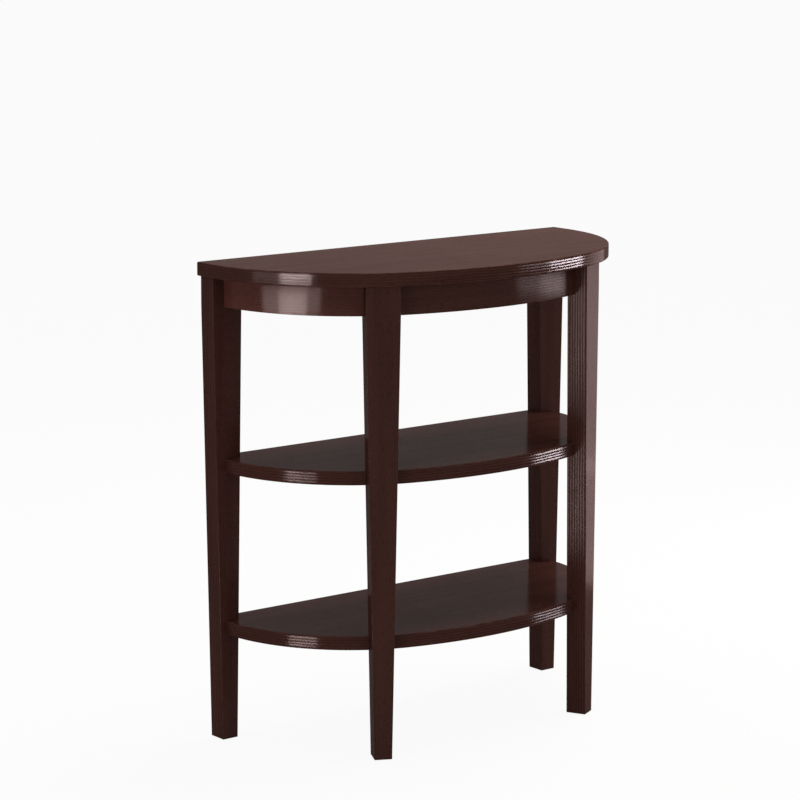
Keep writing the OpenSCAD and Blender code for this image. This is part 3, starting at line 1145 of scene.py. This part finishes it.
@dataclass
class BackRail:
    """Straight rail between the back legs."""

    name: str = "rail_behind"
    half_length: float = 0.3055
    front: float = 0.1365
    back: float = 0.1545
    under: float = APRON_UNDERSIDE
    top: float = TOP_UNDERSIDE
    ease: float = 0.0008
    ease_steps: int = 3
    grain_offset: Pair = (2.3, 0.4)

    def build(self) -> Piece:
        """Planes a block to size and eases its long lower edges.

        Returns:
            The rail.
        """
        centre = Vector((0, (self.front + self.back) / 2, (self.under + self.top) / 2))
        size = (2 * self.half_length, self.back - self.front, self.top - self.under)
        piece = Bench.block(centre, size)
        Bench.edit(piece)
        Bench.pick(piece, "EDGE", self.is_long_and_low)
        bpy.ops.mesh.bevel(offset=self.ease, segments=self.ease_steps, affect="EDGES")
        return Bench.put_down(piece, self.name)

    def is_long_and_low(self, edge: object) -> bool:
        """True for the two long edges of the rail's underside."""
        first, second = (vert.co for vert in edge.verts)
        low = max(first.z, second.z) < self.under + EDGE_TOLERANCE
        return low and abs(first.x - second.x) > EDGE_TOLERANCE


# Legs


@dataclass
class TaperedLegs:
    """The four legs, shaped once and copied to their places."""

    sizes: LegSizes = LegSizes()
    ease_steps: int = 4
    shortest_corner: float = 0.01
    grain_step: Pair = (0.31, 0.47)

    def pattern(self) -> Piece:
        """Shapes one leg at the origin: straight beside the apron, tapered below it."""
        sizes = self.sizes
        middle = Vector((0, 0, sizes.height / 2))
        piece = Bench.block(middle, (sizes.width, sizes.thick, sizes.height))
        Bench.edit(piece)
        bpy.ops.mesh.select_mode(type="FACE")
        bpy.ops.mesh.select_all(action="SELECT")
        bpy.ops.mesh.bisect(plane_co=(0, 0, sizes.taper_top), plane_no=(0, 0, 1))
        Bench.pick(piece, "VERT", lambda vert: vert.co.z < EDGE_TOLERANCE)
        narrowing = (sizes.foot_width / sizes.width, 1, 1)
        bpy.ops.transform.resize(value=narrowing, center_override=(0, 0, 0))
        Bench.pick(piece, "EDGE", self.is_corner)
        bpy.ops.mesh.bevel(offset=sizes.ease, segments=self.ease_steps, affect="EDGES")
        return Bench.put_down(piece, "leg_pattern")

    def is_corner(self, edge: object) -> bool:
        """True for the long corners and the foot's edges."""
        low, high = sorted(vert.co.z for vert in edge.verts)
        return high - low > self.shortest_corner or high < EDGE_TOLERANCE

    def build(self, grain: GrainMap) -> dict[str, Piece]:
        """Copies the pattern to the four places.

        Args:
            grain: writes each leg's own stretch of grain before it is placed.

        Returns:
            The legs by the name of their place.
        """
        pattern = self.pattern()
        legs = {}
        for number, (place, leg) in enumerate(LEG_PLACES.items()):
            piece = pattern.copy()
            piece.data = pattern.data.copy()
            bpy.context.scene.collection.objects.link(piece)
            Bench.name(piece, f"{place}_leg_tapered")
            along, across = self.grain_step
            grain.write(piece, GrainRun.UPRIGHT, (along * number, across * number))
            piece.rotation_euler = (0, 0, leg.turn)
            piece.location = (leg.x, leg.y, 0)
            Bench.take(piece)
            Bench.settle()
            legs[place] = piece
        bpy.data.objects.remove(pattern)
        return legs


# The table


class ConsoleTable:
    """Builds the pieces in order, dresses them and hands them to the frame."""

    slot = "espresso_wood"
    hidden_slots = {
        "beech": ("apron_dowels", "rail_dowels"),
        "zinc_steel": (
            "leg_bolts", "leg_washers", "leg_nuts", "block_screws", "top_screws", "cam_bolts"
        ),
        "cast_zinc": ("cam_discs",),
    }

    def __init__(self) -> None:
        """Prepares the grain and the finishes."""
        self.grain = GrainMap(BowedOutline())
        self.shop = FinishShop()
        self.delivered: set[str] = set()

    def deliver(self, piece: Piece, node: str) -> None:
        """Finishes a piece and lets it stand for its node."""
        Bench.smooth(piece)
        self.shop.dress(piece, self.slot)
        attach(piece, "root")
        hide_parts(node)
        self.delivered.add(node)
        log.info("%s stands for %s: %d faces", piece.name, node, len(piece.data.polygons))

    def boards(self) -> None:
        """Makes the top and the two shelves."""
        for board in (
            BowedBoard("top_board", "top_panel", under=TOP_UNDERSIDE),
            Shelf("middle_shelf_board", "middle_shelf", under=0.430, grain_offset=(1.7, 0.6)),
            Shelf("lower_shelf_board", "lower_shelf", under=0.170, grain_offset=(3.1, 1.3)),
        ):
            piece = board.build()
            self.grain.write(piece, GrainRun.BOARD, board.grain_offset, board.left_lines)
            self.deliver(piece, board.node)

    def aprons(self) -> None:
        """Makes the three bent aprons and the back rail."""
        apron = BentApron()
        pieces = {
            "apron_left": apron.build_side(-1, "left_apron_bent"),
            "apron_front": apron.build_front("front_apron_bent"),
            "apron_right": apron.build_side(1, "right_apron_bent"),
        }
        for node, piece in pieces.items():
            self.grain.write(piece, GrainRun.BENT, apron.grain_offset)
            self.deliver(piece, node)
        rail = BackRail()
        piece = rail.build()
        self.grain.write(piece, GrainRun.LENGTHWISE, rail.grain_offset)
        self.deliver(piece, "back_rail")

    def legs(self) -> None:
        """Makes the four legs."""
        for place, piece in TaperedLegs().build(self.grain).items():
            self.deliver(piece, f"{place}_leg")

    def hidden_nodes(self) -> None:
        """Gives each CAD node that stays its finish, by the slot listed for it in hidden_slots, or
        raw wood.
        """
        slots = {name: slot for slot, names in self.hidden_slots.items() for name in names}
        for name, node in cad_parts.items():
            if name not in self.delivered:
                self.shop.dress(node, slots.get(name, "raw_wood"))
                log.info("%s keeps its solid", name)


# Studio


class LampUse(Enum):
    """What a soft box is hung for."""

    SHINE = "mirrored by the lacquer"
    FILL = "lights the faces"
    BOTH = "mirrored and lights the faces"


@dataclass(frozen=True)
class SoftBox:
    """A soft box that is seen from a point in a direction, and faces that point.

    The azimuth is in degrees, 0 in front of the table and 90 at its right. The brightness holds
    for every part of the box, so that a larger box gives more light.
    """

    name: str
    seen_from: Triple
    azimuth: float
    distance: float
    height: float
    width: float
    tall: float
    brightness: float
    tint: Colour
    use: LampUse = LampUse.SHINE
    onto: tuple[str, ...] = ()

    def hang(self) -> None:
        """Hangs the box at its place and flags it off from the pieces it isn't meant for."""
        turn = math.radians(self.azimuth)
        aim = Vector(self.seen_from)
        place = aim + self.distance * Vector((math.sin(turn), -math.cos(turn), 0))
        place.z = self.height
        lamp = bpy.data.lights.new(self.name, "AREA")
        lamp.shape = "RECTANGLE"
        lamp.color = self.tint
        lamp.size, lamp.size_y = self.width, self.tall
        lamp.energy = self.brightness * math.pi * self.width * self.tall
        box = bpy.data.objects.new(self.name, lamp)
        bpy.context.scene.collection.objects.link(box)
        facing = (aim - place).to_track_quat("-Z", "Y").to_matrix().to_4x4()
        box.matrix_world = Matrix.Translation(place) @ facing
        box.visible_camera = False
        box.visible_diffuse = self.use != LampUse.SHINE
        box.visible_glossy = self.use != LampUse.FILL
        if self.onto:
            lit = bpy.data.collections.new(f"{self.name}_lights")
            for name in self.onto:
                lit.objects.link(bpy.data.objects[name])
            box.light_linking.receiver_collection = lit


# Points that the soft boxes face, their tints, and the pieces that a box may be kept to
LEFT = (-0.30, -0.02, 0.36)
RIGHT = (0.125, -0.147, 0.36)
RIGHT_LEG = (0.20, -0.10, 0.40)
FAR_RIGHT = (0.75, 0.10, 0.70)
WHITE = (1.0, 1.0, 1.0)
PINK = (1.0, 0.82, 0.80)
VIOLET = (1.0, 0.86, 0.92)
ROSE = (1.0, 0.74, 0.72)
NEARLY_WHITE = (1.0, 0.97, 0.96)
TOP = ("top_board",)
MIDDLE = ("middle_shelf_board",)
LOWER = ("lower_shelf_board",)
LEFT_APRON = ("left_apron_bent",)
LEFT_APRONS = ("left_apron_bent", "front_apron_bent")
RIGHT_APRONS = ("front_apron_bent", "right_apron_bent")
UPRIGHTS = tuple(f"{place}_leg_tapered" for place in LEG_PLACES)
SHINE, FILL, BOTH = LampUse
# Each row gives the fields of one soft box in their order
SOFT_BOXES = tuple(
    SoftBox(*row)
    for row in (
        ("left_slab", LEFT, -73, 0.40, 0.703, 0.19, 0.045, 129.0, PINK, SHINE, TOP),
        ("left_slab_skirt", LEFT, -96, 0.42, 0.703, 0.21, 0.045, 13.4, PINK, SHINE, TOP),
        ("left_apron", LEFT, -83, 0.40, 0.645, 0.19, 0.07, 49.0, PINK, SHINE, LEFT_APRONS),
        ("left_apron_skirt", LEFT, -84, 0.42, 0.645, 0.44, 0.07, 27.0, PINK, SHINE, LEFT_APRONS),
        ("left_middle", LEFT, -76, 0.20, 0.400, 0.13, 0.04, 34.0, PINK, SHINE, MIDDLE),
        ("left_low", LEFT, -75, 0.20, 0.130, 0.12, 0.04, 38.0, PINK, SHINE, LOWER),
        ("left_wall", LEFT, -82, 2.00, 0.180, 0.45, 0.36, 27.0, ROSE),
        ("left_wall_foot", LEFT, -74, 0.60, 0.100, 0.26, 0.20, 24.0, ROSE),
        ("left_fill", LEFT, -68, 2.10, 0.450, 0.90, 0.90, 3.0, ROSE, FILL),
        ("left_apron_fill", LEFT, -92, 1.20, 0.660, 0.50, 0.50, 9.0, ROSE, FILL, LEFT_APRON),
        ("right_slab", RIGHT, 65, 0.40, 0.705, 0.17, 0.06, 156.0, VIOLET, SHINE, TOP),
        ("right_slab_end", RIGHT, 45, 0.42, 0.705, 0.18, 0.06, 22.0, VIOLET, SHINE, TOP),
        ("right_apron", RIGHT, 64.5, 0.40, 0.655, 0.34, 0.05, 12.8, PINK, SHINE, RIGHT_APRONS),
        ("right_apron_end", RIGHT, 66.5, 0.42, 0.655, 0.12, 0.05, 14.6, PINK, SHINE, RIGHT_APRONS),
        ("right_middle", RIGHT, 66, 0.40, 0.360, 0.15, 0.05, 105.0, VIOLET, SHINE, MIDDLE),
        ("right_low", RIGHT, 67, 0.40, 0.080, 0.15, 0.05, 46.0, VIOLET, SHINE, LOWER),
        ("right_wall", RIGHT_LEG, 92, 2.00, 0.290, 1.30, 0.58, 8.9, ROSE, SHINE, TOP + UPRIGHTS),
        ("right_wall_foot", RIGHT_LEG, 92, 0.90, 0.120, 0.55, 0.24, 8.5, ROSE, SHINE, UPRIGHTS),
        ("right_fill", RIGHT_LEG, 92, 2.00, 0.500, 1.30, 1.00, 5.5, ROSE, FILL),
        ("overhead", FAR_RIGHT, 0, 0.01, 2.400, 1.40, 1.40, 7.9, NEARLY_WHITE, BOTH),
    )
)


@dataclass
class Studio:
    """Pale floor, soft light and the photograph's camera.

    The yaw, the pitch and the roll are in degrees, and the rise is a share of the frame.
    """

    focal_px: float = 2987.95
    frame_px: float = 800.0
    sensor_mm: float = 36.0
    yaw: float = -38.1357
    pitch: float = -8.7518
    roll: float = 0.0676
    camera_at: Triple = (-2.95209, -3.64271, 1.37718)
    rise: float = -0.1
    ambient: float = 0.66
    floor_size: float = 160.0
    floor_shade: float = 0.07
    floor_paint: float = 0.6
    boxes: tuple[SoftBox, ...] = SOFT_BOXES

    def build(self) -> None:
        """Sets up the floor, the world, the lamps and the camera."""
        self.floor()
        self.world()
        for box in self.boxes:
            box.hang()
            log.info("lamp %s", box.name)
        self.camera()

    def background_rays(self, desk: NodeDesk) -> Socket:
        """1 for rays from the camera, from gloss and through glass, 0 for all other rays."""
        path = desk.add("ShaderNodeLightPath").outputs
        bounced = desk.math("MAXIMUM", path["Is Glossy Ray"], path["Is Transmission Ray"])
        return desk.math("MAXIMUM", path["Is Camera Ray"], bounced)

    def floor(self) -> None:
        """Lays a plain white floor that keeps a little of the table's shadow."""
        piece = Bench.sheet(Vector((0, 0, 0)), (self.floor_size, self.floor_size), (0, 0, 0))
        Bench.name(piece, "studio_floor")
        material = bpy.data.materials.new("studio_white")
        material.use_nodes = True
        desk = NodeDesk(material.node_tree)
        paint = desk.add("ShaderNodeBsdfDiffuse", Color=(self.floor_paint,) * 3)
        glow = desk.add("ShaderNodeEmission", Color=WHITE, Strength=1.0)
        mix = desk.add("ShaderNodeMixShader")
        share = desk.math("MULTIPLY", self.background_rays(desk), 1 - self.floor_shade)
        for value, socket in zip((share, paint.outputs[0], glow.outputs[0]), mix.inputs):
            desk.feed(value, socket)
        desk.add("ShaderNodeOutputMaterial", Surface=mix.outputs[0])
        piece.data.materials.append(material)

    def world(self) -> None:
        """Makes a white backdrop and a soft, even ambient light."""
        world = bpy.data.worlds.new("studio")
        bpy.context.scene.world = world
        world.use_nodes = True
        desk = NodeDesk(world.node_tree)
        strength = desk.scaled(self.background_rays(desk), 1 - self.ambient, self.ambient)
        shell = desk.add("ShaderNodeBackground", Color=WHITE, Strength=strength)
        desk.add("ShaderNodeOutputWorld", Surface=shell.outputs[0])

    def camera(self) -> None:
        """Stands the camera where the photograph was taken."""
        data = bpy.data.cameras.new("photo_camera")
        data.sensor_width = self.sensor_mm
        data.lens = self.focal_px / self.frame_px * data.sensor_width
        data.shift_y = self.rise
        camera = bpy.data.objects.new("photo_camera", data)
        bpy.context.scene.collection.objects.link(camera)
        turn = (
            Matrix.Rotation(math.radians(self.yaw), 4, "Z")
            @ Matrix.Rotation(math.radians(90 + self.pitch), 4, "X")
            @ Matrix.Rotation(math.radians(self.roll), 4, "Z")
        )
        camera.matrix_world = Matrix.Translation(Vector(self.camera_at)) @ turn
        bpy.context.scene.camera = camera
        bpy.context.scene.view_settings.view_transform = "Standard"


def main() -> None:
    """Builds the table, then the studio."""
    logging.basicConfig(level=logging.INFO, format="%(name)s: %(message)s")
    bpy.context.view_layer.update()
    table = ConsoleTable()
    table.boards()
    table.aprons()
    table.legs()
    table.hidden_nodes()
    Studio().build()
    Bench.clear()


if __name__ == "__main__":
    main()
